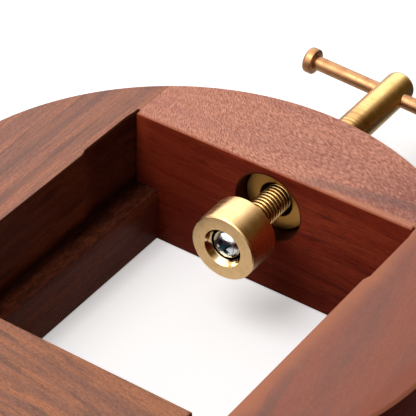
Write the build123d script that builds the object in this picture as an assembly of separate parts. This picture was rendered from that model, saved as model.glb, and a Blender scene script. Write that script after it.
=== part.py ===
from build123d import *
import os

# Seal carving vise: a round wooden frame with a square opening, and a brass clamp screw.
# The origin is the centre of the round frame on its underside.
# +Y points along the screw towards its handle, and +Z points up.

# Round frame. The ledges are planed by the finishing cut once the blocks are glued together.
frame_diameter = 145.0
frame_thickness = 40.1
side_wall_x = 42.4
far_wall_y = 42.35
near_wall_y = -43.7
ledge_width = 7.0
ledge_height = 17.2
ledge_finishing_cut = 0.1
outer_edge_chamfer = 0.8
opening_edge_chamfer = 0.4

# Shallow cut-back of the side walls beside the screw, and the end of each ledge at the fixed jaw
cutback_depth = 0.75
cutback_length = 21.4
cutback_run_in = 2.2
cutback_run_out = 3.0
cutback_end_depth = 0.4
cutback_overrun = 1.3
ledge_overrun = 4.0
ledge_end_radius = 4.0

# Dowels in the four glued joints
dowel_diameter = 6.0
dowel_length = 12.0
dowel_edge_distance = 6.5
glue_gap = 0.02

# Screw bushing and its seat in the far block
screw_depth = 12.5
pad_seat_diameter = 20.0
pad_seat_depth = 4.0
bushing_flange_diameter = 18.4
bushing_flange_thickness = 3.0
bushing_barrel_diameter = 13.0
bushing_barrel_length = 16.0
bushing_mouth_diameter = 10.4
hub_bore_clearance = 0.4

# Spindle
screw_diameter = 8.0
running_clearance = 0.05
journal_diameter = 6.0
end_play = 0.05
hub_diameter = 9.2
hub_stand_off = 6.5
hub_length = 33.2
hub_tip_round = 2.2
hub_base_chamfer = 0.3
relief_length = 2.0
relief_depth = 0.8

# Pressure pad, and how far its rear stands off the far wall at rest
pad_stand_off = 10.7
pad_diameter = 19.0
pad_length = 10.6
pad_recess_diameter = 11.2
pad_recess_depth = 3.4
pad_web_thickness = 3.0
pad_edge_chamfer = 0.4

# Pan-head screw that holds the pad
pad_screw_diameter = 4.0
pad_screw_length = 8.0
pan_head_diameter = 8.2
pan_head_height = 3.1
pan_head_rim_height = 1.2
pan_head_crown_diameter = 5.4
pan_head_crown_height = 0.5
tapped_hole_extra_depth = 1.5

# Tommy bar and its caps, and how far the screw is turned at rest, in degrees
screw_turn_at_rest = 2.9
tommy_bar_setback = 6.8
tommy_bar_diameter = 4.1
tommy_cap_inner_x = 24.5
tommy_cap_diameter = 7.5
tommy_cap_length = 3.0
tommy_cap_bore_depth = 2.0
tommy_cap_chamfer = 0.6

# Places worked out from the sizes above
frame_radius = frame_diameter / 2
lower_wall_x = side_wall_x - ledge_width
joint_step_height = ledge_height + ledge_finishing_cut
upper_dowel_height = (joint_step_height + frame_thickness) / 2
lower_dowel_height = ledge_height / 2
screw_height = frame_thickness - screw_depth
pad_rear_y = far_wall_y - pad_stand_off
pad_face_y = pad_rear_y - pad_length
recess_floor_y = pad_face_y + pad_recess_depth
web_rear_y = recess_floor_y + pad_web_thickness
head_seat_y = recess_floor_y - end_play
shoulder_y = web_rear_y + end_play
bushing_face_y = far_wall_y + pad_seat_depth
flange_rear_y = bushing_face_y + bushing_flange_thickness
barrel_end_y = flange_rear_y + bushing_barrel_length
ledge_end_y = near_wall_y - ledge_overrun
hub_base_y = frame_radius + hub_stand_off
hub_tip_y = hub_base_y + hub_length
tommy_bar_y = hub_tip_y - tommy_bar_setback
reach = 2 * frame_diameter


def along_screw(y):
    """Plane across the screw axis at this y, whose normal points along +Y."""
    return Plane(origin=(0, y, screw_height), x_dir=(1, 0, 0), z_dir=(0, 1, 0))


def rod_y(radius, y_start, y_end):
    """Cylinder on the screw axis between two y values."""
    return along_screw(y_start) * Cylinder(
        radius, y_end - y_start, align=(Align.CENTER, Align.CENTER, Align.MIN)
    )


def turned(profile):
    """Solid turned about the screw axis from an outline of (radius, y) points."""
    outline = Polyline(*profile, close=True)
    face = make_face(outline)
    blank = revolve(Plane.XY * face, axis=Axis.Y)
    return Pos(0, 0, screw_height) * blank


def block(x_low, x_high, y_low, y_high, z_low, z_high):
    """Box between two corners."""
    size = (x_high - x_low, y_high - y_low, z_high - z_low)
    corner = Pos(x_low, y_low, z_low)
    return corner * Box(*size, align=(Align.MIN, Align.MIN, Align.MIN))


def plan_prism(points, z_low, z_high):
    """Upright prism over an outline in plan."""
    outline = Polyline(*points, close=True)
    return Pos(0, 0, z_low) * extrude(make_face(outline), z_high - z_low)


def side_opening(side):
    """What is cut above one ledge: the wall, its cut-back near the screw and the round end."""
    wall = side * side_wall_x
    relieved_wall = side * (side_wall_x + cutback_depth)
    relieved_end = side * (side_wall_x + cutback_end_depth)
    cutback_start = far_wall_y - cutback_length
    cut = plan_prism(
        [
            (0, near_wall_y),
            (side * lower_wall_x, near_wall_y),
            (side * lower_wall_x, ledge_end_y),
            (wall, ledge_end_y),
            (wall, cutback_start - cutback_run_in),
            (relieved_wall, cutback_start),
            (relieved_wall, far_wall_y - cutback_run_out),
            (relieved_end, far_wall_y),
            (relieved_end, far_wall_y + cutback_overrun),
            (wall, far_wall_y + cutback_overrun),
            (wall, far_wall_y),
            (0, far_wall_y),
        ],
        ledge_height,
        frame_thickness + 1,
    )
    ledge_end_edges = [
        edge
        for edge in cut.edges().filter_by(Axis.Z)
        if abs(edge.center().X - wall) < 1e-6 and abs(edge.center().Y - ledge_end_y) < 1e-6
    ]
    return fillet(ledge_end_edges, ledge_end_radius)


def shaped_frame():
    """The whole wooden frame as one body, with its edges eased, before it is divided."""
    frame = Cylinder(frame_radius, frame_thickness, align=(Align.CENTER, Align.CENTER, Align.MIN))
    frame = chamfer(frame.edges().filter_by(GeomType.CIRCLE), outer_edge_chamfer)
    frame -= block(-lower_wall_x, lower_wall_x, near_wall_y, far_wall_y, -1, frame_thickness + 1)
    frame -= side_opening(-1)
    frame -= side_opening(1)
    rim_radius = frame_radius - outer_edge_chamfer
    flat_edges = edges_at_height(frame, frame_thickness) + edges_at_height(frame, 0)
    lips = [edge for edge in flat_edges if not is_circle(edge, rim_radius)]
    return chamfer(lips, opening_edge_chamfer)


def is_circle(edge, radius):
    """True for a round edge of this radius."""
    return edge.geom_type == GeomType.CIRCLE and abs(edge.radius - radius) < 1e-6


def edges_at_height(solid, height):
    """Edges that lie flat at this z."""
    return [
        edge
        for edge in solid.edges()
        if abs(edge.bounding_box().min.Z - height) < 1e-6
        and abs(edge.bounding_box().max.Z - height) < 1e-6
    ]


def far_block_region():
    """Space of the far block, stepped at its ends to sit on both ledges."""
    upper = block(-side_wall_x, side_wall_x, far_wall_y, reach, joint_step_height, reach)
    lower = block(-lower_wall_x, lower_wall_x, far_wall_y, reach, -1, joint_step_height)
    return upper + lower


def near_block_region():
    """Space of the near block, between the side blocks."""
    return block(-lower_wall_x, lower_wall_x, -reach, near_wall_y, -1, reach)


def dowel_places():
    """Centre and grain direction of each dowel: (x, y, z) at the seam, for dowels along X."""
    far_y = far_wall_y + dowel_edge_distance
    near_y = ledge_end_y - dowel_edge_distance
    places = []
    for side in (-1, 1):
        places.append((side * side_wall_x, far_y, upper_dowel_height))
        places.append((side * lower_wall_x, far_y, lower_dowel_height))
        places.append((side * lower_wall_x, near_y, upper_dowel_height))
        places.append((side * lower_wall_x, near_y, lower_dowel_height))
    return places


def dowel_blank(extra):
    """Dowel along X about the origin, grown by a clearance for its hole."""
    return Rot(0, 90, 0) * Cylinder(dowel_diameter / 2 + extra, dowel_length + 2 * extra)


def drill_dowel_holes(wood):
    """Cut every dowel hole that meets this piece of wood."""
    for place in dowel_places():
        wood -= Pos(*place) * dowel_blank(glue_gap)
    return wood


def joint_dowels():
    """Eight plain dowels as separate solids."""
    return Compound(children=[Pos(*place) * dowel_blank(0) for place in dowel_places()])


def side_block(frame, side):
    """One full-length side segment of the frame; side is -1 for left and 1 for right."""
    low = min(0, side * reach)
    high = max(0, side * reach)
    wood = frame & block(low, high, -reach, reach, -1, reach)
    wood -= far_block_region()
    wood -= near_block_region()
    return drill_dowel_holes(wood)


def screw_block(frame):
    """Far block with the stepped bore for the bushing, the pad's seat and the screw."""
    wood = frame & far_block_region()
    wood -= rod_y(pad_seat_diameter / 2, far_wall_y - 1, flange_rear_y)
    wood -= rod_y(bushing_barrel_diameter / 2 + glue_gap, far_wall_y, barrel_end_y + glue_gap)
    wood -= rod_y(hub_diameter / 2 + hub_bore_clearance, far_wall_y, reach)
    return drill_dowel_holes(wood)


def fixed_jaw_block(frame):
    """Near block, whose inner face is the fixed jaw."""
    return drill_dowel_holes(frame & near_block_region())


def screw_bushing():
    """Flanged brass nut with a coned mouth towards the pad."""
    bore = screw_diameter / 2 + running_clearance
    mouth = bushing_mouth_diameter / 2
    flange = bushing_flange_diameter / 2
    barrel = bushing_barrel_diameter / 2
    return turned(
        [
            (bore, bushing_face_y + mouth - bore),
            (mouth, bushing_face_y),
            (flange, bushing_face_y),
            (flange, flange_rear_y),
            (barrel, flange_rear_y),
            (barrel, barrel_end_y),
            (bore, barrel_end_y),
        ]
    )


def along_bar(shape):
    """Lay a shape made on the Z axis along the tommy bar, with its +Z towards the right cap."""
    return Pos(0, tommy_bar_y, screw_height) * (Rot(0, 90 + screw_turn_at_rest, 0) * shape)


def spindle():
    """Clamp screw in one piece: journal, screw length, thread relief and drilled hub."""
    rod = screw_diameter / 2
    journal = journal_diameter / 2
    hub = hub_diameter / 2
    relief = rod - relief_depth
    body = turned(
        [
            (0, head_seat_y),
            (journal, head_seat_y),
            (journal, shoulder_y),
            (rod, shoulder_y),
            (rod, hub_base_y - relief_length),
            (relief, hub_base_y - relief_length),
            (relief, hub_base_y),
            (hub, hub_base_y),
            (hub, hub_tip_y),
            (0, hub_tip_y),
        ]
    )
    circles = body.edges().filter_by(GeomType.CIRCLE).sort_by(Axis.Y)
    body = fillet(circles[-1], hub_tip_round)
    hub_circles = [edge for edge in body.edges() if is_circle(edge, hub)]
    base_edge = min(hub_circles, key=lambda edge: edge.center().Y)
    body = chamfer(base_edge, hub_base_chamfer)
    body -= along_bar(Cylinder(tommy_bar_diameter / 2 + running_clearance, reach))
    tapped_depth = pad_screw_length + tapped_hole_extra_depth
    body -= rod_y(pad_screw_diameter / 2, head_seat_y - 1, head_seat_y + tapped_depth)
    return body


def pressure_pad():
    """Brass disc with the front recess, a web that turns on the journal, and a rear socket."""
    outer = pad_diameter / 2
    recess = pad_recess_diameter / 2
    web = journal_diameter / 2 + running_clearance
    socket = screw_diameter / 2 + running_clearance
    edge = pad_edge_chamfer
    return turned(
        [
            (recess, pad_face_y),
            (outer - edge, pad_face_y),
            (outer, pad_face_y + edge),
            (outer, pad_rear_y - edge),
            (outer - edge, pad_rear_y),
            (socket, pad_rear_y),
            (socket, web_rear_y),
            (web, web_rear_y),
            (web, recess_floor_y),
            (recess, recess_floor_y),
        ]
    )


def pad_screw():
    """Pan-head screw whose head stands in the pad's recess, with a bevelled and crowned top."""
    shank = pad_screw_diameter / 2 - glue_gap
    head = pan_head_diameter / 2
    crown = pan_head_crown_diameter / 2
    top_y = head_seat_y - pan_head_height
    return turned(
        [
            (0, top_y),
            (crown, top_y + pan_head_crown_height),
            (head, head_seat_y - pan_head_rim_height),
            (head, head_seat_y),
            (shank, head_seat_y),
            (shank, head_seat_y + pad_screw_length),
            (0, head_seat_y + pad_screw_length),
        ]
    )


def tommy_bar():
    """Plain bar through the hub, its ends inside the caps."""
    half_length = tommy_cap_inner_x + tommy_cap_bore_depth - glue_gap
    return along_bar(Cylinder(tommy_bar_diameter / 2, 2 * half_length))


def tommy_cap(side):
    """Round cap pressed on one end of the bar; side is -1 for left and 1 for right."""
    cap = Cylinder(
        tommy_cap_diameter / 2, tommy_cap_length, align=(Align.CENTER, Align.CENTER, Align.MIN)
    )
    cap = chamfer(cap.edges().filter_by(GeomType.CIRCLE), tommy_cap_chamfer)
    cap -= Cylinder(
        tommy_bar_diameter / 2 + glue_gap,
        tommy_cap_bore_depth,
        align=(Align.CENTER, Align.CENTER, Align.MIN),
    )
    cap = Pos(0, 0, tommy_cap_inner_x) * cap
    if side < 0:
        cap = Rot(0, 180, 0) * cap
    return along_bar(cap)


whole_frame = shaped_frame()

nodes = {
    "left_side_block": side_block(whole_frame, -1),
    "right_side_block": side_block(whole_frame, 1),
    "screw_block": screw_block(whole_frame),
    "fixed_jaw_block": fixed_jaw_block(whole_frame),
    "joint_dowels": joint_dowels(),
    "screw_bushing": screw_bushing(),
    "spindle": spindle(),
    "pressure_pad": pressure_pad(),
    "pad_screw": pad_screw(),
    "tommy_bar": tommy_bar(),
    "tommy_cap_left": tommy_cap(-1),
    "tommy_cap_right": tommy_cap(1),
}

os.makedirs("parts", exist_ok=True)
for name, shape in nodes.items():
    export_step(shape, f"parts/{name}.step")
    print(name, [round(value, 1) for value in shape.bounding_box().size])
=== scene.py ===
import bmesh
import bpy
import math
from mathutils import Matrix, Vector

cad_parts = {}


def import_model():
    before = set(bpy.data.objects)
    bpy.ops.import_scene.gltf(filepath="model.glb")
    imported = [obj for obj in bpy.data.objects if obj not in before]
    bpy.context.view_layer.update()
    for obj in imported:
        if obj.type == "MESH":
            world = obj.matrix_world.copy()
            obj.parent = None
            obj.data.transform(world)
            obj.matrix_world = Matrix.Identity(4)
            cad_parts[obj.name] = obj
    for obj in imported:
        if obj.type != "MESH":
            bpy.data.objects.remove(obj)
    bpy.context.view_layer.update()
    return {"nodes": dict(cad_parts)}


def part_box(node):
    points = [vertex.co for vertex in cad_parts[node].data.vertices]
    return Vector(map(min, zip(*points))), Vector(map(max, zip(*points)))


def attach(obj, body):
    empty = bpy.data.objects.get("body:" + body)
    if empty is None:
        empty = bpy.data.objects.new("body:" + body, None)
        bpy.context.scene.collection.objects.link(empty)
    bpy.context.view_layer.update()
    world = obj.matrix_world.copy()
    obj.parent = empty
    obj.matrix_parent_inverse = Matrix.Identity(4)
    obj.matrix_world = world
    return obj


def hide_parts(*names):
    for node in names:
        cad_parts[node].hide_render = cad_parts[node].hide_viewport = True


# A round rosewood vise for carving seals, with a brass clamp screw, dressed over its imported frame.
# Lengths are in metres. +Y points along the screw towards its handle, and +Z points up.
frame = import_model()
wood_and_brass = frame["nodes"]

MM = 0.001


def node_span(node, axis):
    """Lowest and highest place of a CAD node along one axis, 0 for X, 1 for Y and 2 for Z."""
    low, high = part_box(node)
    return low[axis], high[axis]


# Places taken from the frame
frame_top = node_span("screw_block", 2)[1]
spindle_front, hub_tip_y = node_span("spindle", 1)
spindle_underside, spindle_upside = node_span("spindle", 2)
screw_height = (spindle_underside + spindle_upside) / 2
hub_radius = (spindle_upside - spindle_underside) / 2
pad_face_y, pad_rear_y = node_span("pressure_pad", 1)
pad_radius = node_span("pressure_pad", 0)[1]
bushing_face_y, barrel_end_y = node_span("screw_bushing", 1)
flange_radius = node_span("screw_bushing", 0)[1]
head_front_y, shank_end_y = node_span("pad_screw", 1)
head_radius = node_span("pad_screw", 0)[1]
bar_low_y, bar_high_y = node_span("tommy_bar", 1)
bar_y = (bar_low_y + bar_high_y) / 2
bar_radius = (bar_high_y - bar_low_y) / 2
cap_low_y, cap_high_y = node_span("tommy_cap_right", 1)
cap_radius = (cap_high_y - cap_low_y) / 2

# Sizes of the turned brass that the frame's boxes don't give
rod_radius = 4.0 * MM
thread_root_radius = 3.45 * MM
thread_pitch = 1.25 * MM
journal_radius = 3.0 * MM
pad_recess_radius = 5.6 * MM
pad_recess_depth = 3.4 * MM
dish_depth = 1.8 * MM
socket_radius = 4.56 * MM
pad_web = 3.0 * MM
running_gap = 0.05 * MM
hub_length = 33.2 * MM
relief_length = 2.0 * MM
relief_radius = 3.2 * MM
relief_round = 0.2 * MM
hub_base_round = 0.3 * MM
hub_tip_round = 2.2 * MM
flange_thickness = 3.0 * MM
flange_edge = 0.15 * MM
barrel_radius = 6.5 * MM
mouth_radius = 5.2 * MM
head_height = 3.1 * MM
shank_radius = 1.98 * MM
cap_inner = 24.5 * MM
cap_length = 3.0 * MM
cap_bore_depth = 2.0 * MM
cap_end_round = 0.9 * MM
cap_inner_round = 0.6 * MM
glue_gap = 0.02 * MM
soft_edge = 0.1 * MM
screw_turn_at_rest = math.radians(2.9)

recess_floor_y = pad_face_y + pad_recess_depth
web_rear_y = recess_floor_y + pad_web
shoulder_y = web_rear_y + running_gap
head_seat_y = head_front_y + head_height
hub_base_y = hub_tip_y - hub_length
relief_start_y = hub_base_y - relief_length
screw_axis = Vector((0, 0, screw_height))
bar_axis = Vector((0, bar_y, screw_height))


# Camera: the photograph's viewing angle
CAMERA_AZIMUTH = math.radians(33.4371)
CAMERA_ELEVATION = math.radians(38.0944)
CAMERA_ROLL = math.radians(1.5750)
CAMERA_DISTANCE = 538.95 * MM
CAMERA_LENS = 184.981
CAMERA_TARGET = Vector((-3.628 * MM, 19.493 * MM, frame_top))


def set_camera():
    level = math.cos(CAMERA_ELEVATION)
    x = math.sin(CAMERA_AZIMUTH) * level
    y = -math.cos(CAMERA_AZIMUTH) * level
    back = Vector((x, y, math.sin(CAMERA_ELEVATION)))
    lens = bpy.data.cameras.new("camera")
    lens.lens = CAMERA_LENS
    lens.sensor_width = 36
    lens.clip_start = 0.01
    camera = bpy.data.objects.new("camera", lens)
    upright = back.to_track_quat("Z", "Y").to_matrix().to_4x4()
    rolled = upright @ Matrix.Rotation(CAMERA_ROLL, 4, "Z")
    camera.matrix_world = Matrix.Translation(CAMERA_TARGET + back * CAMERA_DISTANCE) @ rolled
    bpy.context.scene.collection.objects.link(camera)
    bpy.context.scene.camera = camera


# Mesh helpers
def new_piece(name, mesh):
    """Put a mesh in the scene as an object at the origin."""
    piece = bpy.data.objects.new(name, mesh)
    bpy.context.scene.collection.objects.link(piece)
    return piece


def finished_mesh(work, name):
    """New mesh from a work mesh, which is freed."""
    mesh = bpy.data.meshes.new(name)
    work.to_mesh(mesh)
    work.free()
    return mesh


MERGE_DISTANCE = 0.001 * MM
ON_AXIS = 0.0001 * MM
FULL_TURN = 2 * math.pi


def weld(mesh):
    """Merge points that lie on each other, and drop faces without area."""
    work = bmesh.new()
    work.from_mesh(mesh)
    bmesh.ops.remove_doubles(work, verts=work.verts, dist=MERGE_DISTANCE)
    bmesh.ops.dissolve_degenerate(work, edges=work.edges, dist=MERGE_DISTANCE / 2)
    work.to_mesh(mesh)
    work.free()


def carry_out_modifiers(piece):
    view = bpy.context.evaluated_depsgraph_get()
    mesh = bpy.data.meshes.new_from_object(piece.evaluated_get(view))
    piece.modifiers.clear()
    weld(mesh)
    piece.data = mesh


def shade(mesh, sharpest_degrees=35):
    """Smooth shading, apart from edges sharper than this."""
    mesh.shade_smooth()
    mesh.set_sharp_from_angle(angle=math.radians(sharpest_degrees))


def rounded_outline(corners, closed=False, steps=5):
    """Outline of (radius, along) points from corners of (radius, along, rounding)."""
    points = []
    count = len(corners)
    for index, (radius, along, rounding) in enumerate(corners):
        here = Vector((radius, along))
        ends_here = not closed and index in (0, count - 1)
        if rounding == 0 or ends_here:
            points.append(here)
            continue
        before = (Vector(corners[index - 1][:2]) - here).normalized()
        after = (Vector(corners[(index + 1) % count][:2]) - here).normalized()
        half_angle = before.angle(after) / 2
        reach = rounding / math.tan(half_angle)
        centre = here + (before + after).normalized() * (rounding / math.sin(half_angle))
        start = here + before * reach - centre
        sweep = start.angle_signed(here + after * reach - centre)
        for step in range(steps + 1):
            turned = Matrix.Rotation(-sweep * step / steps, 2) @ start
            points.append(centre + turned)
    return points


def turned_piece(name, outline, centre, axis, closed=False, segments=128):
    """Piece turned about an axis, "X" or "Y", from an outline of (radius, along) points."""
    across, upright = {"X": ("Y", "Z"), "Y": ("Z", "X")}[axis]
    unit = {"X": Vector((1, 0, 0)), "Y": Vector((0, 1, 0)), "Z": Vector((0, 0, 1))}
    work = bmesh.new()
    rings = []
    for radius, along in outline:
        middle = centre + unit[axis] * along
        if radius < ON_AXIS:
            rings.append([work.verts.new(middle)])
            continue
        ring = []
        for segment in range(segments):
            turn = FULL_TURN * segment / segments
            place = unit[across] * math.cos(turn) + unit[upright] * math.sin(turn)
            ring.append(work.verts.new(middle + place * radius))
        rings.append(ring)
    pairs = list(zip(rings, rings[1:]))
    if closed:
        pairs.append((rings[-1], rings[0]))
    for first, second in pairs:
        for segment in range(segments):
            following = (segment + 1) % segments
            corners = [first[segment % len(first)], first[following % len(first)]]
            corners += [second[following % len(second)], second[segment % len(second)]]
            distinct = list(dict.fromkeys(corners))
            if len(distinct) > 2:
                work.faces.new(distinct)
    bmesh.ops.recalc_face_normals(work, faces=work.faces)
    mesh = finished_mesh(work, name)
    shade(mesh)
    return new_piece(name, mesh)


def turn_with_screw(piece):
    """Turn a piece made along the bar about the screw axis, by the screw's turn at rest."""
    to_axis = Matrix.Translation(screw_axis)
    piece.data.transform(to_axis @ Matrix.Rotation(screw_turn_at_rest, 4, "Y") @ to_axis.inverted())


def cut_away(piece, cutter):
    """Cut the space of one object out of a piece, and drop the cutter."""
    cut = piece.modifiers.new("cut", "BOOLEAN")
    cut.operation = "DIFFERENCE"
    cut.solver = "EXACT"
    cut.object = cutter
    carry_out_modifiers(piece)
    bpy.data.objects.remove(cutter)
    shade(piece.data)


def joined(name, pieces):
    """One piece made of the meshes of several, which are dropped."""
    work = bmesh.new()
    for piece in pieces:
        work.from_mesh(piece.data)
        bpy.data.objects.remove(piece)
    mesh = finished_mesh(work, name)
    shade(mesh)
    return new_piece(name, mesh)


# Node helpers for materials and geometry
def add_node(tree, kind, inputs=None, **settings):
    """Add a node. Each input is a value or the output socket of another node."""
    made = tree.nodes.new(kind)
    for name, value in settings.items():
        setattr(made, name, value)
    for key, value in (inputs or {}).items():
        if isinstance(value, bpy.types.NodeSocket):
            tree.links.new(value, made.inputs[key])
        else:
            made.inputs[key].default_value = value
    return made


def send(sockets, values):
    """Link each value to the socket of its name."""
    for label, value in values.items():
        value.id_data.links.new(value, sockets[label])


def followed_by(kind, inputs, **settings):
    """Add a node to the tree that the sockets among its inputs belong to."""
    sockets = [value for value in inputs.values() if isinstance(value, bpy.types.NodeSocket)]
    return add_node(sockets[0].id_data, kind, inputs, **settings)


def maths(operation, first, second=0.0):
    made = followed_by("ShaderNodeMath", {0: first, 1: second}, operation=operation)
    return made.outputs[0]


def product(first, *others):
    for value in others:
        first = maths("MULTIPLY", first, value)
    return first


def total(first, *others):
    for value in others:
        first = maths("ADD", first, value)
    return first


def less(first, second):
    """The first value less the second."""
    return maths("SUBTRACT", first, second)


def ratio(first, second):
    return maths("DIVIDE", first, second)


def hypotenuse(first, second):
    return maths("SQRT", total(product(first, first), product(second, second)))


def vector_maths(operation, first, second):
    made = followed_by("ShaderNodeVectorMath", {0: first, 1: second}, operation=operation)
    return made.outputs[0]


def stretched(vector, scale):
    """Vector multiplied by a scale for each axis."""
    return vector_maths("MULTIPLY", vector, scale)


def parts_of(vector):
    return tuple(followed_by("ShaderNodeSeparateXYZ", {0: vector}).outputs)


def vector_of(x, y, z):
    return followed_by("ShaderNodeCombineXYZ", {0: x, 1: y, 2: z}).outputs[0]


def in_range(value, low, high, to_low=0.0, to_high=1.0):
    """Value between low and high, smoothly turned into one between two others."""
    inputs = {0: value, 1: low, 2: high, 3: to_low, 4: to_high}
    made = followed_by("ShaderNodeMapRange", inputs, interpolation_type="SMOOTHSTEP")
    return made.outputs[0]


def blended(share, first, second, blend_type="MIX"):
    """Colour between two others by a share of 0 to 1."""
    inputs = {0: share, 6: first, 7: second}
    made = followed_by("ShaderNodeMix", inputs, data_type="RGBA", blend_type=blend_type)
    return made.outputs[2]


def toned(colour, tone):
    """Colour made darker or lighter by a factor."""
    return blended(1.0, colour, vector_of(tone, tone, tone), "MULTIPLY")


def noise(vector, scale, detail, roughness=0.5, distortion=0.0):
    inputs = {"Vector": vector, "Scale": scale, "Detail": detail}
    shape = {"Roughness": roughness, "Distortion": distortion}
    return followed_by("ShaderNodeTexNoise", {**inputs, **shape}).outputs[0]


FLOAT = "NodeSocketFloat"
COLOUR = "NodeSocketColor"
VECTOR = "NodeSocketVector"


def node_group(name, inputs, outputs, kind="ShaderNodeTree"):
    """New node group with named sockets. Each is given by its type, or an input by its number.

    Returns the tree, its inputs and its outputs.
    """
    tree = bpy.data.node_groups.new(name, kind)
    for label, given in inputs.items():
        number_type = "NodeSocketInt" if isinstance(given, int) else FLOAT
        socket_type = given if isinstance(given, str) else number_type
        socket = tree.interface.new_socket(label, in_out="INPUT", socket_type=socket_type)
        if socket_type != given:
            socket.default_value = given
    for label, socket_type in outputs.items():
        tree.interface.new_socket(label, in_out="OUTPUT", socket_type=socket_type)
    entry = tree.nodes.new("NodeGroupInput")
    leave = tree.nodes.new("NodeGroupOutput")
    return tree, entry.outputs, leave.inputs


def rosewood_group():
    """Rosewood grain along the X of Place, which is in millimetres."""
    tree, given, out = node_group(
        "rosewood_grain",
        {
            "Place": VECTOR, "Ground Colour": COLOUR, "Warm Colour": COLOUR,
            "Streak Colour": COLOUR, "Band Width": 8.0, "Streak Width": 1.5,
            "Streak Length": 20.0, "Streak Amount": 0.5, "Streak Cover": 0.5,
            "Pore Amount": 0.4, "Fibre Amount": 0.15, "Grain Amount": 0.0, "Waviness": 16.0,
        },
        {"Color": COLOUR, "Height": FLOAT},
    )
    place = given["Place"]
    drift = noise(stretched(place, (0.012, 0.03, 0.03)), 1.0, 2.0)
    sideways = product(less(drift, 0.5), given["Waviness"])
    wavy = vector_maths("ADD", place, vector_of(0.0, sideways, sideways))
    x, y, z = parts_of(wavy)

    band_y = ratio(y, given["Band Width"])
    band_z = ratio(z, given["Band Width"])
    band_x = product(x, 0.012)
    bands = noise(vector_of(band_x, band_y, band_z), 1.0, 3.0, 0.6)
    warm = in_range(bands, 0.36, 0.62)
    colour = blended(warm, given["Ground Colour"], given["Warm Colour"])

    streak_y = ratio(y, given["Streak Width"])
    streak_z = ratio(z, given["Streak Width"])
    streak_x = ratio(x, given["Streak Length"])
    streak_noise = noise(vector_of(streak_x, streak_y, streak_z), 0.6, 3.0, 0.55)
    cover = in_range(given["Streak Cover"], 0.0, 1.0, 0.70, 0.36)
    streaks = in_range(streak_noise, cover, total(cover, 0.16))
    streak_share = product(streaks, given["Streak Amount"])
    colour = blended(streak_share, colour, given["Streak Colour"])

    fibre = noise(stretched(wavy, (0.16, 2.6, 2.6)), 1.0, 2.0, 0.6)
    fibre_swing = product(in_range(fibre, 0.2, 0.8, -1.0, 1.0), given["Fibre Amount"])
    fine = noise(stretched(place, (0.9, 2.8, 2.8)), 1.0, 3.0, 0.7)
    fine_swing = product(in_range(fine, 0.3, 0.7, -1.0, 1.0), given["Grain Amount"])
    fibre_tone = total(fibre_swing, fine_swing, 1.0)
    pore_noise = noise(stretched(place, (0.5, 5.5, 5.5)), 1.0, 1.0)
    pores = in_range(pore_noise, 0.60, 0.70)
    pore_share = product(pores, given["Pore Amount"])
    tone = product(fibre_tone, less(1.0, pore_share))
    colour = toned(colour, tone)

    height = less(product(fibre, 0.4), pore_share)
    send(out, {"Color": colour, "Height": height})
    return tree


def fleck_group():
    """Short curling flecks of end grain over a block's top. Place is in millimetres."""
    tree, given, out = node_group(
        "curled_flecks",
        {
            "Place": VECTOR, "Color": COLOUR, "Fleck Colour": COLOUR, "Pale Colour": COLOUR,
            "Amount": 0.5, "Pale Amount": 0.3, "Curl Centre": 4.0, "Fleck Width": 0.4,
            "Fleck Length": 1.3,
        },
        {"Color": COLOUR},
    )
    x, y, z = parts_of(given["Place"])
    left_of_centre = maths("MINIMUM", less(x, given["Curl Centre"]), 0.0)
    square = product(left_of_centre, left_of_centre)
    curl = product(square, left_of_centre, 0.00035)
    rise = total(product(x, 0.42), curl)
    across = ratio(total(y, rise), given["Fleck Width"])
    run = less(product(x, 0.8), product(y, 0.6))
    along = ratio(run, given["Fleck Length"])
    depth = ratio(z, given["Fleck Length"])
    fleck_noise = noise(vector_of(along, across, depth), 0.8, 3.0, 0.6, 0.5)
    flecks = in_range(fleck_noise, 0.44, 0.62)
    pale = in_range(fleck_noise, 0.36, 0.46, 1.0, 0.0)
    share = product(flecks, given["Amount"])
    pale_share = product(pale, given["Pale Amount"])
    colour = blended(share, given["Color"], given["Fleck Colour"])
    colour = blended(pale_share, colour, given["Pale Colour"])
    send(out, {"Color": colour})
    return tree


def band_group():
    """One soft band of another colour along a straight line in plan. Place is in millimetres."""
    tree, given, out = node_group(
        "soft_band",
        {
            "Place": VECTOR, "Color": COLOUR, "Band Colour": COLOUR, "Through": VECTOR,
            "Direction": 0.0, "Half Width": 2.0, "Half Length": 15.0, "Amount": 0.5,
        },
        {"Color": COLOUR},
    )
    from_middle = vector_maths("SUBTRACT", given["Place"], given["Through"])
    x, y = parts_of(from_middle)[:2]
    angle = maths("RADIANS", given["Direction"])
    cosine = maths("COSINE", angle)
    sine = maths("SINE", angle)
    along = total(product(x, cosine), product(y, sine))
    across = less(product(y, cosine), product(x, sine))
    drift = noise(vector_of(product(along, 0.07), 0.0, 0.0), 1.0, 3.0, 0.6)
    wobble = product(given["Half Width"], 1.2, less(drift, 0.5))
    distance = maths("ABSOLUTE", total(across, wobble))
    edge_start = product(given["Half Width"], 0.35)
    edge_end = product(given["Half Width"], 1.5)
    near = in_range(distance, edge_start, edge_end, 1.0, 0.0)
    end_start = product(given["Half Length"], 0.6)
    from_end = maths("ABSOLUTE", along)
    inside = in_range(from_end, end_start, given["Half Length"], 1.0, 0.0)
    share = product(near, inside, given["Amount"])
    colour = blended(share, given["Color"], given["Band Colour"])
    send(out, {"Color": colour})
    return tree


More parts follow.
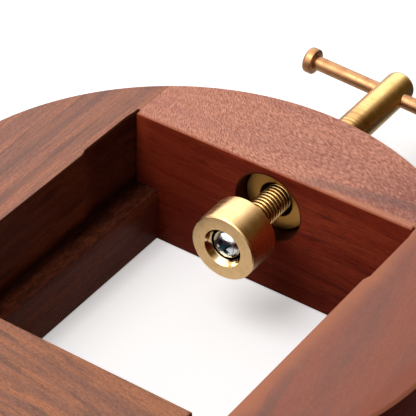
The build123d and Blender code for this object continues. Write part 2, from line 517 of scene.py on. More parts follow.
def painted_face_shading_group():
    """Chooses between the top's painted light and sheen and the painted shade of a block's walls and
    ledges.
    """
    tree, given, out = node_group(
        "painted_face_shading",
        {
            "Place": VECTOR, "Top Color": COLOUR, "Wall Color": COLOUR, "Edge Colour": COLOUR,
            "Edge Amount": 0.5, "Shade Below": 0.0, "Top Roughness": 0.5,
            "Wall Roughness": 0.42,
        },
        {"Color": COLOUR, "Roughness": FLOAT},
    )
    normal = add_node(tree, "ShaderNodeNewGeometry").outputs["Normal"]
    upright = maths("ABSOLUTE", parts_of(normal)[2])
    steep = in_range(upright, 0.45, 0.97, 1.0, 0.0)
    height = parts_of(given["Place"])[2]
    # Painted shade: faces below 20 to 30 mm, such as the ledges, take the darker wall colour.
    low = in_range(height, 20.0, 30.0, 1.0, 0.0)
    wall = maths("MAXIMUM", steep, low)
    # Painted shade: Shade Below darkens the walls towards the bottom.
    shade_share = product(in_range(height, 4.0, 32.0, 1.0, 0.0), given["Shade Below"])
    lit = less(1.0, shade_share)
    wall_colour = toned(given["Wall Color"], lit)
    colour = blended(wall, given["Top Color"], wall_colour)
    rising = in_range(upright, 0.08, 0.5)
    falling = in_range(upright, 0.90, 0.995, 1.0, 0.0)
    edge = product(rising, falling, less(1.0, low))
    edge_share = product(edge, given["Edge Amount"])
    colour = blended(edge_share, colour, given["Edge Colour"])
    roughness = in_range(wall, 0.0, 1.0, given["Top Roughness"], given["Wall Roughness"])
    send(out, {"Color": colour, "Roughness": roughness})
    return tree


def rabbet_group():
    """Painted shade with some grime in the rabbet's corner, the darker cut-back beside the screw,
    and saw marks below.
    """
    tree, given, out = node_group(
        "rabbet_shade_and_marks",
        {
            "Place": VECTOR, "Color": COLOUR, "Wall X": 42.4, "Ledge Height": 17.2,
            "Cut Start": 21.0, "Corner Amount": 0.75, "Cut Amount": 0.45, "Ledge Amount": 0.5,
            "Saw Amount": 0.3, "Saw Spacing": 1.1,
        },
        {"Color": COLOUR, "Height": FLOAT},
    )
    x, y, z = parts_of(given["Place"])
    wall_distance = less(maths("ABSOLUTE", x), given["Wall X"])
    ledge_distance = less(z, given["Ledge Height"])
    spread = noise(stretched(given["Place"], (0.12, 0.12, 0.12)), 1.0, 3.0, 0.6)
    # Painted shade with some grime: the wall's foot and the ledge's back darken round their corner.
    from_corner = hypotenuse(wall_distance, ledge_distance)
    distance = product(from_corner, total(spread, 0.5))
    corner = in_range(distance, 0.5, 3.4, 1.0, 0.0)
    corner_share = product(corner, given["Corner Amount"])
    above = in_range(ledge_distance, -0.2, 0.3)
    behind = in_range(less(y, given["Cut Start"]), -3.0, 5.0)
    cut_share = product(behind, above, given["Cut Amount"])
    dark = product(less(1.0, corner_share), less(1.0, cut_share))
    on_ledge = in_range(maths("ABSOLUTE", ledge_distance), 0.1, 0.4, 1.0, 0.0)
    rubbed = noise(stretched(given["Place"], (0.9, 0.35, 0.9)), 1.0, 4.0, 0.7)
    worn = in_range(in_range(rubbed, 0.35, 0.65), 0.0, 1.0, 0.6, 1.3)
    ledge_share = product(on_ledge, worn, given["Ledge Amount"])
    dark = product(dark, less(1.0, ledge_share))
    in_opening = in_range(wall_distance, 3.0, 8.0, 1.0, 0.0)
    dark = in_range(in_opening, 0.0, 1.0, 1.0, dark)

    saw_centre_y, saw_centre_z = 18.0, -16.0
    saw_radius = hypotenuse(less(y, saw_centre_y), less(z, saw_centre_z))
    saw_phase = ratio(saw_radius, given["Saw Spacing"])
    saw_wave = maths("SINE", product(saw_phase, 6.28))
    patchy = noise(stretched(given["Place"], (0.1, 0.1, 0.1)), 1.0, 2.0)
    below = product(in_range(ledge_distance, -0.6, -1.2), in_opening)
    before_end = in_range(y, 12.0, 26.0, 1.0, 0.0)
    saw_area = product(below, before_end, in_range(patchy, 0.35, 0.6))
    saw = product(saw_wave, saw_area, given["Saw Amount"])
    tone = product(dark, total(1.0, saw))
    colour = toned(given["Color"], tone)
    send(out, {"Color": colour, "Height": saw})
    return tree


def bore_group():
    """Painted shade: dark wood in a bore round the screw axis. Place is in millimetres from that
    axis.
    """
    tree, given, out = node_group(
        "painted_bore_shade",
        {
            "Place": VECTOR, "Color": COLOUR, "Bore Colour": COLOUR, "Bore Radius": 10.0,
            "Amount": 0.8,
        },
        {"Color": COLOUR},
    )
    x, _, z = parts_of(given["Place"])
    radius = hypotenuse(x, z)
    clear = less(radius, given["Bore Radius"])
    share = product(in_range(clear, 0.1, 0.6, 1.0, 0.0), given["Amount"])
    colour = blended(share, given["Color"], given["Bore Colour"])
    send(out, {"Color": colour})
    return tree


def turning_group():
    """Fine rings that a lathe leaves round the X axis of Place, which is in millimetres."""
    tree, given, out = node_group(
        "turned_rings",
        {
            "Place": VECTOR, "Color": COLOUR, "Dull Colour": COLOUR, "Ring Width": 0.15,
            "Dullness": 0.3, "Roughness": 0.25,
        },
        {"Color": COLOUR, "Roughness": FLOAT, "Height": FLOAT},
    )
    x, y, z = parts_of(given["Place"])
    radius = hypotenuse(y, z)
    ring_x = ratio(x, given["Ring Width"])
    ring_radius = ratio(radius, given["Ring Width"])
    drift = stretched(given["Place"], (0.0, 0.05, 0.05))
    ring_place = vector_maths("ADD", vector_of(ring_x, ring_radius, 0.0), drift)
    rings = noise(ring_place, 1.0, 2.0, 0.7)
    tarnish = noise(given["Place"], 0.35, 4.0, 0.6)
    dull = product(in_range(tarnish, 0.4, 0.75), given["Dullness"])
    colour = blended(dull, given["Color"], given["Dull Colour"])
    rough = total(given["Roughness"], product(dull, 0.25))
    rough = total(rough, in_range(rings, 0.3, 0.7, -0.04, 0.05))
    send(out, {"Color": colour, "Roughness": rough, "Height": rings})
    return tree


rosewood = rosewood_group()
flecked_top = fleck_group()
soft_band = band_group()
painted_face_shading = painted_face_shading_group()
rabbet_shade_and_marks = rabbet_group()
painted_bore_shade = bore_group()
turned_rings = turning_group()


def place_in_mm(tree, turn_degrees=(0, 0, 0), shift=(0, 0, 0)):
    """Object place in millimetres, turned so that a pattern runs along X."""
    spot = add_node(tree, "ShaderNodeTexCoord").outputs["Object"]
    turns = [math.radians(value) for value in turn_degrees]
    inputs = {"Vector": spot, "Location": shift, "Rotation": turns, "Scale": (1 / MM,) * 3}
    return add_node(tree, "ShaderNodeMapping", inputs).outputs[0]


def use_group(group, inputs):
    return followed_by("ShaderNodeGroup", inputs, node_tree=group).outputs


def new_material(name, values):
    """Material whose shader has these uniform values."""
    material = bpy.data.materials.new(name)
    material.use_nodes = True
    tree = material.node_tree
    shader = tree.nodes["Principled BSDF"]
    for label, value in values.items():
        shader.inputs[label].default_value = value
    return material, tree, shader


def bumped(shader, height, distance, strength=1.0):
    inputs = {"Height": height, "Distance": distance, "Strength": strength}
    bump = followed_by("ShaderNodeBump", inputs)
    send(shader.inputs, {"Normal": bump.outputs[0]})


def srgb(red, green, blue):
    """Linear colour from the 0 to 255 values that a picture shows."""
    linear = []
    for value in (red, green, blue):
        share = value / 255
        linear.append(share / 12.92 if share <= 0.04045 else ((share + 0.055) / 1.055) ** 2.4)
    return (*linear, 1.0)


WOOD_SHEEN = 0.02
GRAIN_DEPTH = 0.05 * MM
GRAIN_STRENGTH = 0.6


def grain(ground, warm, streak, **sizes):
    """Inputs of rosewood_grain: colours that a picture shows, sizes in millimetres and shares."""
    inputs = {name.replace("_", " ").title(): value for name, value in sizes.items()}
    for name, colour in (("Ground", ground), ("Warm", warm), ("Streak", streak)):
        inputs[name + " Colour"] = srgb(*colour)
    return inputs


def band(colour, through, direction, half_width, half_length, amount):
    """Inputs of soft_band: a colour, a point in plan, degrees, millimetres and a share."""
    return {
        "Band Colour": srgb(*colour), "Through": (*through, 0), "Direction": direction,
        "Half Width": half_width, "Half Length": half_length, "Amount": amount,
    }


def wood_material(
    name, turn, shift, top, wall, faces,
    flecks=(), bands=(), late_bands=(), wall_bands=(), rabbet=None, bore=None,
):
    """Rosewood: top and wall give the grain of the top, lighter with painted light and sheen, and of
    the walls, darker with painted shade.

    The top's bands lie under its flecks, and its late bands over them.
    """
    material, tree, shader = new_material(name, {"Specular IOR Level": WOOD_SHEEN})
    plain_place = place_in_mm(tree)
    place = place_in_mm(tree, turn, shift)

    def covered(colour, group, layers):
        """Colour under the layers of one node group."""
        for layer in layers:
            inputs = {"Place": plain_place, "Color": colour, **layer}
            colour = use_group(group, inputs)["Color"]
        return colour

    top_grain = use_group(rosewood, {"Place": place, **top})
    wall_grain = use_group(rosewood, {"Place": place, **wall})
    height = top_grain["Height"]
    top_colour = covered(top_grain["Color"], soft_band, bands)
    top_colour = covered(top_colour, flecked_top, flecks)
    top_colour = covered(top_colour, soft_band, late_bands)
    wall_colour = covered(wall_grain["Color"], soft_band, wall_bands)
    # The rabbet adds painted shade with some grime in its corner, and saw marks.
    if rabbet:
        inputs = {"Place": plain_place, "Color": wall_colour, **rabbet}
        marks = use_group(rabbet_shade_and_marks, inputs)
        wall_colour = marks["Color"]
        height = total(height, marks["Height"])
    colours = {"Top Color": top_colour, "Wall Color": wall_colour}
    finished = use_group(painted_face_shading, {"Place": plain_place, **colours, **faces})
    wood_colour = finished["Color"]
    # Painted shade darkens the wood in the screw's bore.
    if bore:
        from_axis = vector_maths("SUBTRACT", plain_place, (0, 0, screw_height / MM))
        inputs = {"Place": from_axis, "Color": wood_colour, **bore}
        wood_colour = use_group(painted_bore_shade, inputs)["Color"]
    send(shader.inputs, {"Base Color": wood_colour, "Roughness": finished["Roughness"]})
    bumped(shader, height, GRAIN_DEPTH, GRAIN_STRENGTH)
    return material


# Each block has a lighter colour set for its top, painted light and sheen, and a darker set for its
# walls, painted shade.
left_wood = wood_material(
    "left_rosewood", (0, 0, -91), (3, 0, 11),
    grain(
        (170, 124, 110), (200, 138, 114), (134, 106, 103),
        band_width=2.2, streak_width=0.8, streak_length=26.0, streak_amount=0.55, pore_amount=0.3,
        fibre_amount=0.12, grain_amount=0.15, waviness=5.0,
    ),
    grain(
        (104, 49, 35), (120, 62, 41), (70, 35, 30),
        band_width=5.0, streak_width=2.0, streak_length=12.0, streak_amount=0.6, pore_amount=0.3,
        grain_amount=0.2,
    ),
    {"Edge Colour": srgb(58, 22, 12), "Edge Amount": 0.9},
    bands=[
        band((132, 108, 102), (-55.2, 20), 90.0, 1.7, 70.0, 0.45),
        band((140, 108, 98), (-48.2, 10), 91.0, 1.2, 60.0, 0.3),
    ],
    # Corner Amount sets painted shade with some grime in the rabbet's corner.
    rabbet={"Corner Amount": 0.62, "Saw Amount": 0.6},
)
right_wood = wood_material(
    "right_rosewood", (0, 0, -103), (40, 25, 3),
    grain(
        (163, 111, 99), (175, 113, 97), (146, 110, 100),
        band_width=4.2, streak_width=3.0, streak_length=18.0, streak_amount=0.55, streak_cover=0.55,
        pore_amount=0.06, fibre_amount=0.04, grain_amount=0.06, waviness=14.0,
    ),
    grain(
        (84, 22, 11), (100, 30, 13), (58, 16, 11),
        band_width=5.0, streak_width=2.0, streak_length=12.0, streak_amount=0.6, pore_amount=0.3,
    ),
    {"Edge Colour": srgb(196, 120, 94), "Edge Amount": 0.7},
    bands=[
        band((208, 136, 104), (41.5, 0), 90.0, 4.4, 90.0, 0.7),
        band((168, 96, 76), (69.0, -20), 84.0, 4.0, 60.0, 0.5),
    ],
    # Corner Amount sets painted shade with some grime in the rabbet's corner.
    rabbet={"Corner Amount": 0.75},
)
near_wood = wood_material(
    "fixed_jaw_rosewood", (0, 0, 6), (10, 60, 31),
    grain(
        (160, 114, 98), (190, 128, 99), (118, 97, 87),
        band_width=3.0, streak_width=1.5, streak_length=11.0, streak_amount=0.6, streak_cover=0.52,
        pore_amount=0.2, fibre_amount=0.12, grain_amount=0.2,
    ),
    grain(
        (96, 36, 20), (118, 50, 26), (60, 22, 16),
        band_width=5.0, streak_width=1.6, streak_length=14.0, streak_amount=0.7, pore_amount=0.3,
    ),
    {"Edge Colour": srgb(196, 126, 92)},
)
far_wood = wood_material(
    "screw_block_rosewood", (0, 0, -3), (0, 0, 0),
    grain(
        (222, 155, 136), (238, 166, 140), (200, 139, 132),
        band_width=10.0, streak_width=3.0, streak_length=24.0, streak_amount=0.45,
        streak_cover=0.45, pore_amount=0.1,
    ),
    grain(
        (130, 44, 27), (144, 56, 34), (90, 33, 26),
        band_width=4.0, streak_width=1.1, streak_length=16.0, streak_amount=0.6,
        fibre_amount=0.25,
    ),
    # Shade Below paints shade on the far block's walls towards the bottom.
    {"Edge Colour": srgb(196, 104, 66), "Edge Amount": 0.4, "Shade Below": 0.3},
    flecks=[
        {
            "Fleck Colour": srgb(166, 98, 86), "Pale Colour": srgb(248, 188, 160),
            "Amount": 0.9, "Pale Amount": 0.8, "Fleck Width": 0.21, "Fleck Length": 1.1,
        }
    ],
    # The bore gets painted shade.
    bore={"Bore Colour": srgb(40, 26, 12)},
    wall_bands=[
        # The first wall band is painted shade over the left part of the far block's walls.
        band((98, 26, 13), (-30.0, 42.0), 90.0, 15.0, 90.0, 0.45),
        band((152, 58, 30), (-42.0, 42.0), 90.0, 3.5, 90.0, 0.35),
    ],
    late_bands=[
        band((140, 110, 106), (26.5, 47.6), 13.0, 1.9, 21.0, 0.5),
        band((226, 154, 122), (30.0, 43.3), 2.0, 1.3, 18.0, 0.65),
    ],
    bands=[
        band((172, 116, 106), (46.0, 55.0), 60.0, 16.0, 60.0, 0.85),
    ],
)


def dowel_material():
    """Plain beech with faint grain along the dowel."""
    material, tree, shader = new_material("dowel_beech", {"Roughness": 0.55})
    colours = (214, 180, 136), (224, 190, 146), (190, 150, 108)
    sizes = grain(
        *colours,
        band_width=3.0, streak_width=1.0, streak_amount=0.3, streak_cover=0.4, pore_amount=0.2,
    )
    beech = use_group(rosewood, {"Place": place_in_mm(tree), **sizes})
    send(shader.inputs, {"Base Color": beech["Color"]})
    bumped(shader, beech["Height"], 0.03 * MM)
    return material


BRASS = (0.78, 0.51, 0.20, 1.0)
FACED_BRASS = (0.83, 0.55, 0.27, 1.0)
DULL_BRASS = (0.58, 0.32, 0.09, 1.0)
# Brass darkened to olive: painted shade for the bushing deep in its seat.
SHADED_OLIVE_BRASS = (0.48, 0.24, 0.055, 1.0)
ROSE_BRASS = (0.45, 0.235, 0.105, 1.0)
DULL_ROSE = (0.34, 0.14, 0.07, 1.0)
ZINC = (0.80, 0.83, 0.85, 1.0)
DULL_ZINC = (0.50, 0.53, 0.56, 1.0)
# Painted shade in the dark hollows of the pad and the bushing's mouth.
HOLLOW_SHADE_DARK = (0.02, 0.009, 0.005, 1.0)
PALE_BRASS = (0.80, 0.62, 0.38, 1.0)
# Painted shade in the thread's grooves.
GROOVE_SHADE_DARK = (0.10, 0.035, 0.012, 1.0)
# Painted reflection of the dark wood in the hub's rings.
REFLECTED_WOOD_BROWN = (0.30, 0.11, 0.035, 1.0)
# Painted shade, tinted teal like the zinc, in the screw's cross recess.
RECESS_SHADE_TEAL = (0.05, 0.095, 0.13, 1.0)
POLISH_ROUGHNESS = 0.10
HOLLOW_ROUGHNESS = 0.6
GROOVE_SHARE = 0.75
REFLECTED_WOOD_SHARE = 0.9
BLUR = 0.1


def metal_material(
    name, axis, colour, dull, values, ring_depth,
    hollow=None, polish=None, grooves=None, reflected_wood=None,
):
    """Turned metal whose rings run round an axis, "X" or "Y". All sizes are in millimetres.

    hollow is (radius, depth, colour) of painted shade in a hollow, and polish (radius, depth) of a
    bright dish.
    grooves is (root radius, crest radius) of a thread whose grooves get painted shade.
    The last argument, (first, last), is a length whose rings turn brown, a painted reflection of the
    nearby dark wood, most at its first end.
    Depths and lengths run along Y from the front of the pad screw's head.
    """
    material, tree, shader = new_material(name, {"Metallic": 1.0})
    centre_y = bar_y / MM if axis == "X" else head_front_y / MM
    turn = 0 if axis == "X" else -90
    spot = place_in_mm(tree)
    centred = vector_maths("SUBTRACT", spot, (0, centre_y, screw_height / MM))
    mapping = {"Vector": centred, "Rotation": (0, 0, math.radians(turn))}
    turned = add_node(tree, "ShaderNodeMapping", mapping).outputs[0]
    inputs = {"Place": turned, "Color": colour, "Dull Colour": dull, **values}
    rings = use_group(turned_rings, inputs)
    metal_colour, roughness = rings["Color"], rings["Roughness"]
    x, y, z = parts_of(centred)
    radius = hypotenuse(x, z)
    if polish:
        dish_radius, dish_end = polish
        inside = in_range(radius, dish_radius - 0.08, dish_radius, 1.0, 0.0)
        share = product(inside, in_range(y, dish_end, dish_end + BLUR, 1.0, 0.0))
        metal_colour = blended(share, metal_colour, PALE_BRASS)
        roughness = in_range(share, 0.0, 1.0, roughness, POLISH_ROUGHNESS)
    # Painted shade darkens the thread's grooves.
    if grooves:
        share = in_range(radius, *grooves, GROOVE_SHARE, 0.0)
        metal_colour = blended(share, metal_colour, GROOVE_SHADE_DARK)
    # Painted reflection: brown rings stand in for the dark wood mirrored near the frame.
    if reflected_wood:
        first_y, last_y = reflected_wood
        after_first = in_range(y, first_y - 1.0, first_y)
        fading = in_range(y, first_y, last_y, REFLECTED_WOOD_SHARE, 0.0)
        ringed = in_range(rings["Height"], 0.42, 0.58, 0.35, 1.0)
        share = product(after_first, fading, ringed)
        metal_colour = blended(share, metal_colour, REFLECTED_WOOD_BROWN)
    # Painted shade darkens the hollow.
    if hollow:
        hollow_radius, hollow_depth, hollow_colour = hollow
        inside = in_range(radius, hollow_radius - BLUR, hollow_radius + BLUR, 1.0, 0.0)
        share = product(in_range(y, hollow_depth - BLUR, hollow_depth + BLUR), inside)
        metal_colour = blended(share, metal_colour, hollow_colour)
        roughness = in_range(share, 0.0, 1.0, roughness, HOLLOW_ROUGHNESS)
    send(shader.inputs, {"Base Color": metal_colour, "Roughness": roughness})
    bumped(shader, rings["Height"], ring_depth)
    return material


# The pad's dark hollow round the screw head is painted shade.
pad_brass = metal_material(
    "pad_brass", "Y", FACED_BRASS, DULL_BRASS,
    {"Ring Width": 0.16, "Roughness": 0.27, "Dullness": 0.3},
    0.0012 * MM,
    hollow=(4.72, 1.64, HOLLOW_SHADE_DARK),
    polish=(5.55, 1.6),
)
# The spindle's brown rings near the frame are a painted reflection of the wood, and its dark grooves
# painted shade.
spindle_brass = metal_material(
    "spindle_brass", "Y", BRASS, DULL_BRASS,
    {"Ring Width": 0.5, "Roughness": 0.26, "Dullness": 0.45},
    0.005 * MM,
    grooves=(3.50, 3.80),
    reflected_wood=(57.7, 80.0),
)
# The bushing's darker olive brass is painted shade, and so is the dark hollow at its mouth.
bushing_brass = metal_material(
    "bushing_brass", "Y", SHADED_OLIVE_BRASS, DULL_BRASS,
    {"Ring Width": 0.2, "Roughness": 0.4, "Dullness": 0.6},
    0.004 * MM,
    hollow=(5.25, 25.2, HOLLOW_SHADE_DARK),
)
bar_brass = metal_material(
    "bar_brass", "X", ROSE_BRASS, DULL_ROSE,
    {"Ring Width": 0.3, "Roughness": 0.38, "Dullness": 0.65},
    0.003 * MM,
)
# The cross recess of the screw's head gets painted shade, tinted teal.
screw_steel = metal_material(
    "pad_screw_plating", "Y", ZINC, DULL_ZINC,
    {"Ring Width": 0.3, "Roughness": 0.16, "Dullness": 0.3},
    0.002 * MM,
    hollow=(2.9, 0.75, RECESS_SHADE_TEAL),
)
dowel_beech = dowel_material()


def finish_piece(piece, material, node, body):
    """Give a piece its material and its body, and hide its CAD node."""
    piece.data.materials.clear()
    piece.data.materials.append(material)
    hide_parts(node)
    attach(piece, body)


# Wooden blocks
EDGE_SOFTENING = 0.22 * MM
FLAT_WITHIN = math.radians(0.4)
SOFTENED_FROM = math.radians(30)


def soft_block(name, node, material):
    """Copy of a wooden block with its faces merged and its eased edges rounded."""
    work = bmesh.new()
    work.from_mesh(wood_and_brass[node].data)
    bmesh.ops.remove_doubles(work, verts=work.verts, dist=MERGE_DISTANCE)
    bmesh.ops.dissolve_limit(
        work, angle_limit=FLAT_WITHIN, verts=work.verts, edges=work.edges
    )
    mesh = finished_mesh(work, name)
    for attribute in ("custom_normal", "sharp_edge", "sharp_face"):
        if attribute in mesh.attributes:
            mesh.attributes.remove(mesh.attributes[attribute])
    piece = new_piece(name, mesh)
    soften = piece.modifiers.new("soften", "BEVEL")
    soften.width = EDGE_SOFTENING
    soften.segments = 2
    soften.limit_method = "ANGLE"
    soften.angle_limit = SOFTENED_FROM
    carry_out_modifiers(piece)
    shade(piece.data, 30)
    finish_piece(piece, material, node, "frame")


soft_block("left_block", "left_side_block", left_wood)
soft_block("right_block", "right_side_block", right_wood)
soft_block("far_block", "screw_block", far_wood)
soft_block("near_block", "fixed_jaw_block", near_wood)
dowel_finish = wood_and_brass["joint_dowels"].data.materials
dowel_finish.clear()
dowel_finish.append(dowel_beech)


# Pressure pad and its screw
def pressure_pad():
    chamfer = 0.35 * MM
    recess_edge = 0.06 * MM
    dish_edge = 0.05 * MM
    corners = [
        (pad_recess_radius, pad_face_y, recess_edge),
        (pad_radius - chamfer, pad_face_y, soft_edge),
        (pad_radius, pad_face_y + chamfer, soft_edge),
        (pad_radius, pad_rear_y - chamfer, soft_edge),
        (pad_radius - chamfer, pad_rear_y, soft_edge),
        (rod_radius + running_gap, pad_rear_y, soft_edge),
        (rod_radius + running_gap, web_rear_y, 0),
        (journal_radius + running_gap, web_rear_y, 0),
        (journal_radius + running_gap, recess_floor_y, 0),
        (socket_radius, recess_floor_y, 0),
        (socket_radius, pad_face_y + dish_depth, dish_edge),
    ]
    outline = rounded_outline(corners, closed=True)
    piece = turned_piece("clamp_pad", outline, screw_axis, "Y", closed=True)
    finish_piece(piece, pad_brass, "pressure_pad", "pad")


CROSS_TURN = math.radians(45)
CROSS_HALF_LENGTH = 2.6 * MM
CROSS_HALF_WIDTH = 0.7 * MM
CROSS_DEPTH = 1.9 * MM
CROSS_AT_MOUTH = 1.15
CROSS_AT_BOTTOM = 0.45
WIDTH_TAPER = 0.4
CUTTER_REACH = 0.5 * MM
CROWN_RADIUS = 5.6 * MM
RIM_ROUNDING = 0.12 * MM
TIP_CHAMFER = 0.4 * MM
DOME_STEPS = 16


def cross_recess_cutter(turn):
    """Tapered bar across the screw's head that cuts two wings of its cross."""
    work = bmesh.new()
    mouth = CROSS_AT_MOUTH, head_front_y - CUTTER_REACH
    bottom = CROSS_AT_BOTTOM, head_front_y + CROSS_DEPTH
    for share, place in (mouth, bottom):
        x = CROSS_HALF_LENGTH * share
        z = CROSS_HALF_WIDTH * (1 - WIDTH_TAPER + WIDTH_TAPER * share)
        for side_a, side_b in ((-1, -1), (1, -1), (1, 1), (-1, 1)):
            work.verts.new((side_a * x, place, side_b * z))
    bmesh.ops.convex_hull(work, input=work.verts)
    bmesh.ops.recalc_face_normals(work, faces=work.faces)
    turning = Matrix.Rotation(turn, 4, "Y")
    bmesh.ops.transform(work, matrix=Matrix.Translation(screw_axis) @ turning, verts=work.verts)
    return new_piece("cross_cutter", finished_mesh(work, "cross_cutter"))


def pad_screw():
    dome = []
    for step in range(DOME_STEPS + 1):
        radius = (head_radius - RIM_ROUNDING) * step / DOME_STEPS
        fall = CROWN_RADIUS - math.sqrt(CROWN_RADIUS**2 - radius**2)
        dome.append((radius, head_front_y + fall))
    rim_y = dome[-1][1]
    seat = [
        (head_radius - 0.3 * RIM_ROUNDING, rim_y + 0.9 * RIM_ROUNDING),
        (head_radius, rim_y + 1.8 * RIM_ROUNDING),
        (head_radius, head_seat_y),
        (shank_radius, head_seat_y),
        (shank_radius, shank_end_y - TIP_CHAMFER),
        (shank_radius - TIP_CHAMFER, shank_end_y),
        (0, shank_end_y),
    ]
    piece = turned_piece("pan_head_screw", dome + seat, screw_axis, "Y", segments=96)
    for turn in (CROSS_TURN, CROSS_TURN + math.pi / 2):
        cut_away(piece, cross_recess_cutter(turn))
    finish_piece(piece, screw_steel, "pad_screw", "screw")


pressure_pad()
pad_screw()


# Spindle with its rolled thread
def thread_tree():
    """Helical ridge round the Z axis, with named sizes."""
    tree, given, out = node_group(
        "helical_thread",
        {
            "Pitch": 0.00125, "Length": 0.05, "Root Radius": 0.00325, "Crest Radius": 0.004,
            "Crest Share": 0.42, "Crest Rounding": 0.36, "Root Share": 0.92, "Steps a Turn": 40,
            "Material": "NodeSocketMaterial",
        },
        {"Thread": "NodeSocketGeometry"},
        kind="GeometryNodeTree",
    )
    turns = ratio(given["Length"], given["Pitch"])
    spiral = followed_by(
        "GeometryNodeCurveSpiral",
        {
            "Resolution": given["Steps a Turn"], "Rotations": turns, "Height": given["Length"],
            "Start Radius": given["Root Radius"], "End Radius": given["Root Radius"],
        },
    )
    upright = followed_by("GeometryNodeSetCurveNormal", {0: spiral.outputs[0]}, mode="Z_UP")
    depth = less(given["Crest Radius"], given["Root Radius"])
    profile = followed_by(
        "GeometryNodeCurvePrimitiveQuadrilateral",
        {
            "Height": product(depth, 2.0), "Offset": 0.0,
            "Bottom Width": product(given["Pitch"], given["Root Share"]),
            "Top Width": product(given["Pitch"], given["Crest Share"]),
        },
        mode="TRAPEZOID",
    )
    rounding = product(given["Pitch"], given["Crest Rounding"])
    rounded = followed_by(
        "GeometryNodeFilletCurve",
        {"Curve": profile.outputs[0], "Radius": rounding, "Limit Radius": True, "Count": 4},
        mode="POLY",
    )
    turning = {"Geometry": rounded.outputs[0], "Rotation": (0, 0, math.radians(90))}
    outwards = followed_by("GeometryNodeTransform", turning)
    ridge = followed_by(
        "GeometryNodeCurveToMesh",
        {"Curve": upright.outputs[0], "Profile Curve": outwards.outputs[0], "Fill Caps": True},
    )
    solid = followed_by("GeometryNodeRealizeInstances", {0: ridge.outputs[0]})
    paint = {0: solid.outputs[0], "Material": given["Material"]}
    painted = followed_by("GeometryNodeSetMaterial", paint)
    send(out, {"Thread": painted.outputs[0]})
    return tree


def threaded_length(name, start_y, end_y, material):
    """Thread ridge on the screw axis between two places."""
    piece = new_piece(name, bpy.data.meshes.new(name))
    modifier = piece.modifiers.new("thread", "NODES")
    modifier.node_group = thread_tree()
    sizes = {
        "Pitch": thread_pitch, "Length": end_y - start_y, "Root Radius": thread_root_radius,
        "Crest Radius": rod_radius, "Material": material,
    }
    for item in modifier.node_group.interface.items_tree:
        if item.in_out == "INPUT" and item.name in sizes:
            modifier[item.identifier] = sizes[item.name]
    carry_out_modifiers(piece)
    along_y = Matrix.Rotation(math.radians(-90), 4, "X")
    piece.data.transform(Matrix.Translation((0, start_y, screw_height)) @ along_y)
    return piece


def spindle():
    core = thread_root_radius
    corners = [
        (0, spindle_front, 0),
        (journal_radius, spindle_front, soft_edge),
        (journal_radius, shoulder_y, 0),
        (core, shoulder_y, 0),
        (core, relief_start_y, 0),
        (relief_radius, relief_start_y, 0),
        (relief_radius, hub_base_y, relief_round),
        (hub_radius, hub_base_y, hub_base_round),
        (hub_radius, hub_tip_y, hub_tip_round),
        (0, hub_tip_y, 0),
    ]
    rod = turned_piece("spindle_rod", rounded_outline(corners, steps=8), screw_axis, "Y")
    bore = bar_radius + running_gap
    reach = 2 * hub_radius
    outline = [(0, -reach), (bore, -reach), (bore, reach), (0, reach)]
    hole = turned_piece("cross_hole", outline, bar_axis, "X", segments=64)
    turn_with_screw(hole)
    cut_away(rod, hole)
    thread = threaded_length("spindle_thread", shoulder_y, relief_start_y, spindle_brass)
    piece = joined("clamp_screw", [rod, thread])
    finish_piece(piece, spindle_brass, "spindle", "screw")


spindle()


# Bushing in the far block
def bushing():
    bore = rod_radius + running_gap
    corners = [
        (bore, bushing_face_y + mouth_radius - bore, 0),
        (mouth_radius, bushing_face_y, soft_edge),
        (flange_radius, bushing_face_y, flange_edge),
        (flange_radius, bushing_face_y + flange_thickness, 0),
        (barrel_radius, bushing_face_y + flange_thickness, 0),
        (barrel_radius, barrel_end_y, soft_edge),
        (bore, barrel_end_y, 0),
    ]
    outline = rounded_outline(corners, closed=True)
    piece = turned_piece("flanged_nut", outline, screw_axis, "Y", closed=True)
    finish_piece(piece, bushing_brass, "screw_bushing", "frame")


bushing()


# Tommy bar and caps
def bar_piece(name, outline, segments, node):
    piece = turned_piece(name, outline, bar_axis, "X", segments=segments)
    turn_with_screw(piece)
    finish_piece(piece, bar_brass, node, "handle_bar")


def tommy_bar():
    half_length = cap_inner + cap_bore_depth - glue_gap
    rounding = 0.2 * MM
    corners = [
        (0, -half_length, 0),
        (bar_radius, -half_length, rounding),
        (bar_radius, half_length, rounding),
        (0, half_length, 0),
    ]
    bar_piece("sliding_bar", rounded_outline(corners), 64, "tommy_bar")


def tommy_cap(side, name, node):
    bore = bar_radius + glue_gap
    corners = [
        (0, cap_inner + cap_length, 0),
        (cap_radius, cap_inner + cap_length, cap_end_round),
        (cap_radius, cap_inner, cap_inner_round),
        (bore, cap_inner, 0),
        (bore, cap_inner + cap_bore_depth, 0),
        (0, cap_inner + cap_bore_depth, 0),
    ]
    outline = [(radius, side * along) for radius, along in rounded_outline(corners)]
    bar_piece(name, outline, 96, node)


tommy_bar()
tommy_cap(-1, "left_cap", "tommy_cap_left")
tommy_cap(1, "right_cap", "tommy_cap_right")


# Studio
FLOOR_SIZE = 6.0
GLOW_CHANGE = (0.060, 0.110)
BEHIND_OBJECT = (0.115, 0.165)
MIRRORED_DIMMING = 0.92
FLOOR_GLOW = 0.40
OUTER_FLOOR_GLOW = 0.52
MIRRORED_FLOOR_GLOW = 0.36
SEEN_PAPER = (0.86, 0.85, 0.85, 1.0)
BOUNCING_PAPER = (0.54, 0.52, 0.52, 1.0)
AMBIENT = 0.40
MIRRORED_ROOM = 0.75
MIRRORED_WINDOW = 1.35
DIM_SIDE = 0.12
DIM_DIRECTION = (0.98, 0.20, 0.0)
WARM_DIM = (1.0, 0.60, 0.14, 1.0)
WHITE = (1.0, 1.0, 1.0, 1.0)

# Ranges over which the dim side and the mirrored window fade, as parts of a view direction
DIM_FADE = (0.08, 0.72)
WINDOW_FOOT = (0.02, 0.15)
WINDOW_LEFT = (-0.95, -0.75)
WINDOW_RIGHT = (0.00, 0.26)

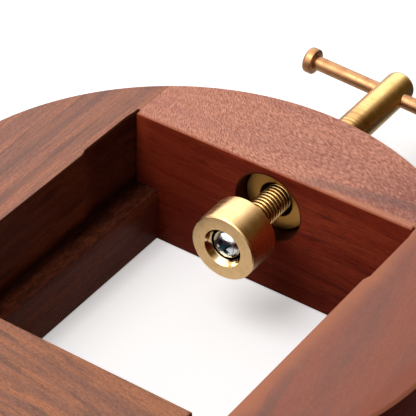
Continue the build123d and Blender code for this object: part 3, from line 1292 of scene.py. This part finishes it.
SOFTBOX_PLACE = (-0.28, -0.42, 0.98)
SOFTBOX_AIM = (0, 0, 0.03)
SOFTBOX_SIZE = 0.6
SOFTBOX_POWER = 7.2


def ray_share(tree, kind):
    """1 for this kind of ray, otherwise 0."""
    return add_node(tree, "ShaderNodeLightPath").outputs[kind]


def floor():
    work = bmesh.new()
    bmesh.ops.create_grid(work, x_segments=1, y_segments=1, size=FLOOR_SIZE / 2)
    piece = new_piece("floor", finished_mesh(work, "floor"))
    values = {"Roughness": 0.9, "Specular IOR Level": 0.1, "Emission Color": WHITE}
    material, tree, shader = new_material("floor_paper", values)
    camera, glossy = ray_share(tree, "Is Camera Ray"), ray_share(tree, "Is Glossy Ray")
    x, y = parts_of(add_node(tree, "ShaderNodeTexCoord").outputs["Object"])[:2]
    # Painted shade: seen in reflections, the floor behind and to the right of the object is dimmed.
    behind = in_range(total(x, y), *BEHIND_OBJECT)
    lit = less(1.0, product(behind, glossy, MIRRORED_DIMMING))
    paper = blended(camera, BOUNCING_PAPER, SEEN_PAPER)
    send(shader.inputs, {"Base Color": toned(paper, lit)})
    # Painted light: the floor glows more away from the object, which paints out its shadow there.
    from_centre = hypotenuse(x, y)
    glow = in_range(from_centre, *GLOW_CHANGE, FLOOR_GLOW, OUTER_FLOOR_GLOW)
    seen = product(camera, glow)
    mirrored = product(glossy, lit, MIRRORED_FLOOR_GLOW)
    send(shader.inputs, {"Emission Strength": total(seen, mirrored)})
    piece.data.materials.append(material)


def world():
    """White to the camera. Metal mirrors a bright high window, and a dim room on the right."""
    studio = bpy.data.worlds.new("studio")
    studio.use_nodes = True
    tree = studio.node_tree
    sky = tree.nodes["Background"]
    direction = add_node(tree, "ShaderNodeTexCoord").outputs["Generated"]
    both = {0: direction, 1: DIM_DIRECTION}
    aside = add_node(tree, "ShaderNodeVectorMath", both, operation="DOT_PRODUCT").outputs["Value"]
    dim = in_range(aside, *DIM_FADE)
    room = in_range(dim, 0.0, 1.0, 1.0, DIM_SIDE)
    high = in_range(parts_of(direction)[2], *WINDOW_FOOT)
    not_left = in_range(aside, *WINDOW_LEFT)
    not_right = in_range(aside, *WINDOW_RIGHT, 1.0, 0.0)
    window = product(not_left, not_right, high)
    glossy = ray_share(tree, "Is Glossy Ray")
    mirrored = product(window, MIRRORED_WINDOW, glossy)
    level = in_range(glossy, 0.0, 1.0, AMBIENT, MIRRORED_ROOM)
    strength = total(product(room, level), mirrored)
    camera = ray_share(tree, "Is Camera Ray")
    seen = maths("MAXIMUM", strength, camera)
    warm = product(dim, less(1.0, camera))
    send(sky.inputs, {"Color": blended(warm, WHITE, WARM_DIM), "Strength": seen})
    bpy.context.scene.world = studio


def softbox():
    light = bpy.data.lights.new("main_softbox", "AREA")
    light.shape = "SQUARE"
    light.size = SOFTBOX_SIZE
    light.energy = SOFTBOX_POWER
    lamp = bpy.data.objects.new("main_softbox", light)
    lamp.location = SOFTBOX_PLACE
    backwards = Vector(SOFTBOX_PLACE) - Vector(SOFTBOX_AIM)
    lamp.rotation_euler = backwards.to_track_quat("Z", "Y").to_euler()
    bpy.context.scene.collection.objects.link(lamp)


set_camera()
floor()
world()
softbox()
bpy.context.scene.view_settings.view_transform = "Standard"
